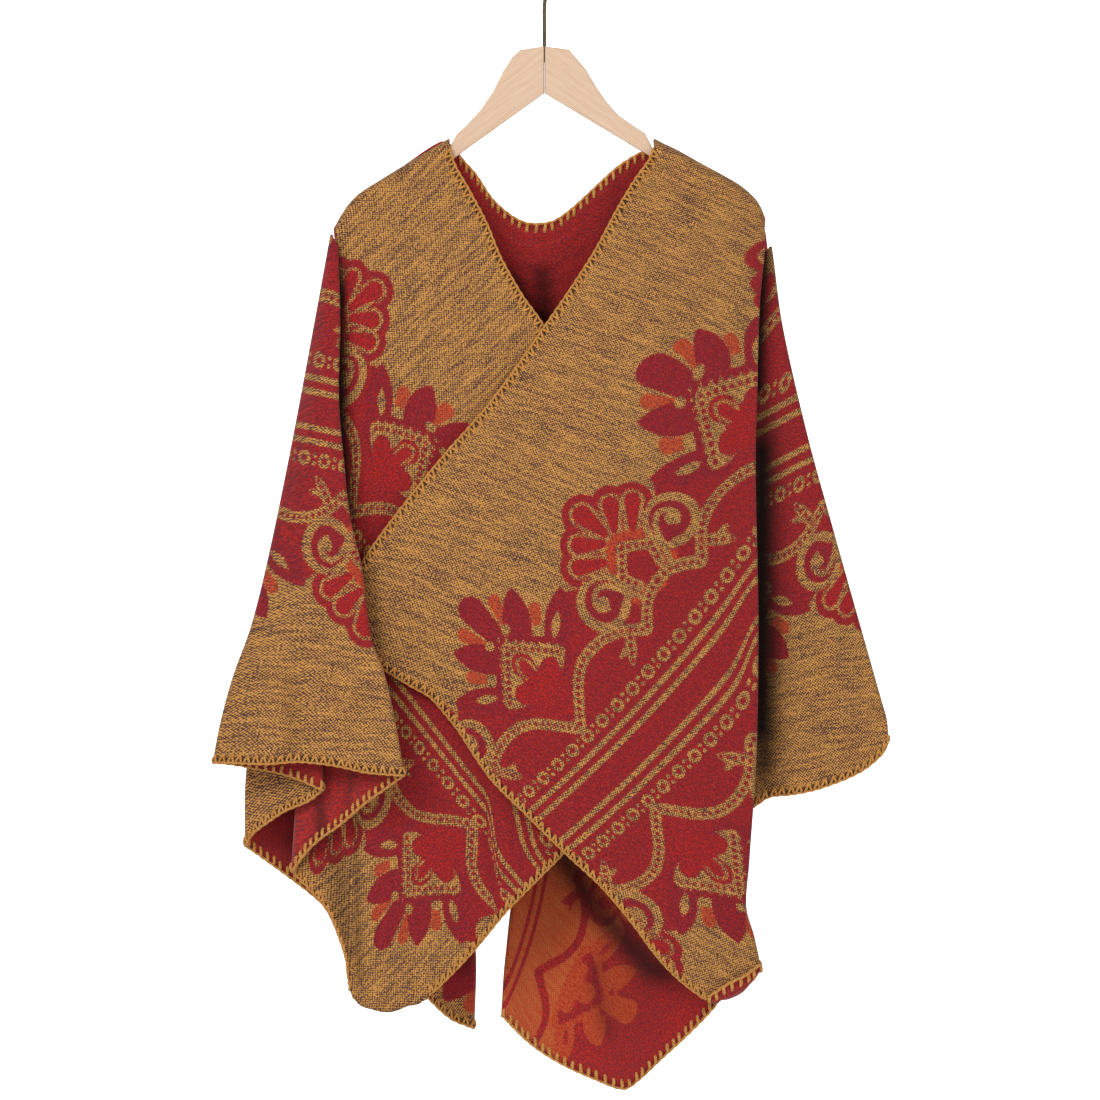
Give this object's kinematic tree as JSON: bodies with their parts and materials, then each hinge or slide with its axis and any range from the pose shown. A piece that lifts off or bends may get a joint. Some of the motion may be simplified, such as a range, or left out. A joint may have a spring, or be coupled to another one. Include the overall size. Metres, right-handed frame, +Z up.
{
  "type": "open-front poncho on a wooden hanger",
  "caption": "Open-front ruana poncho in thick double-faced floral jacquard with blanket-stitched edges, hanging crossed over itself on a flat wooden hanger with a wire hook.",
  "frame": {"origin": "inner top of the hook, where a rail or peg holds it", "axes": "+Z up, the garment hangs down -Z; the front faces -Y; +X is the wearer's left"},
  "size_m": [0.6328, 0.1719, 1.0606],
  "materials": {
    "cloth": "brushed double-faced wool-blend jacquard, tan heather ground with red and orange floral border, red inner side, golden blanket stitch",
    "wood": "pale natural maple, clear satin",
    "wire": "dark olive bronze wire"
  },
  "bodies": {
    "root": {"front_left": "cloth", "front_right": "cloth", "arm_left_front_fold": "cloth", "arm_left": "cloth", "arm_left_back": "cloth", "arm_left_back_fold": "cloth", "arm_right_inner_fold": "cloth", "arm_right": "cloth", "arm_right_back": "cloth", "arm_right_back_fold": "cloth", "back_left": "cloth", "back_left_pleat": "cloth", "back_centre": "cloth", "back_right_pleat": "cloth", "back_right": "cloth", "hanger_left": "wood", "hanger_right": "wood", "hook": "wire"}
  },
  "joints": []
}
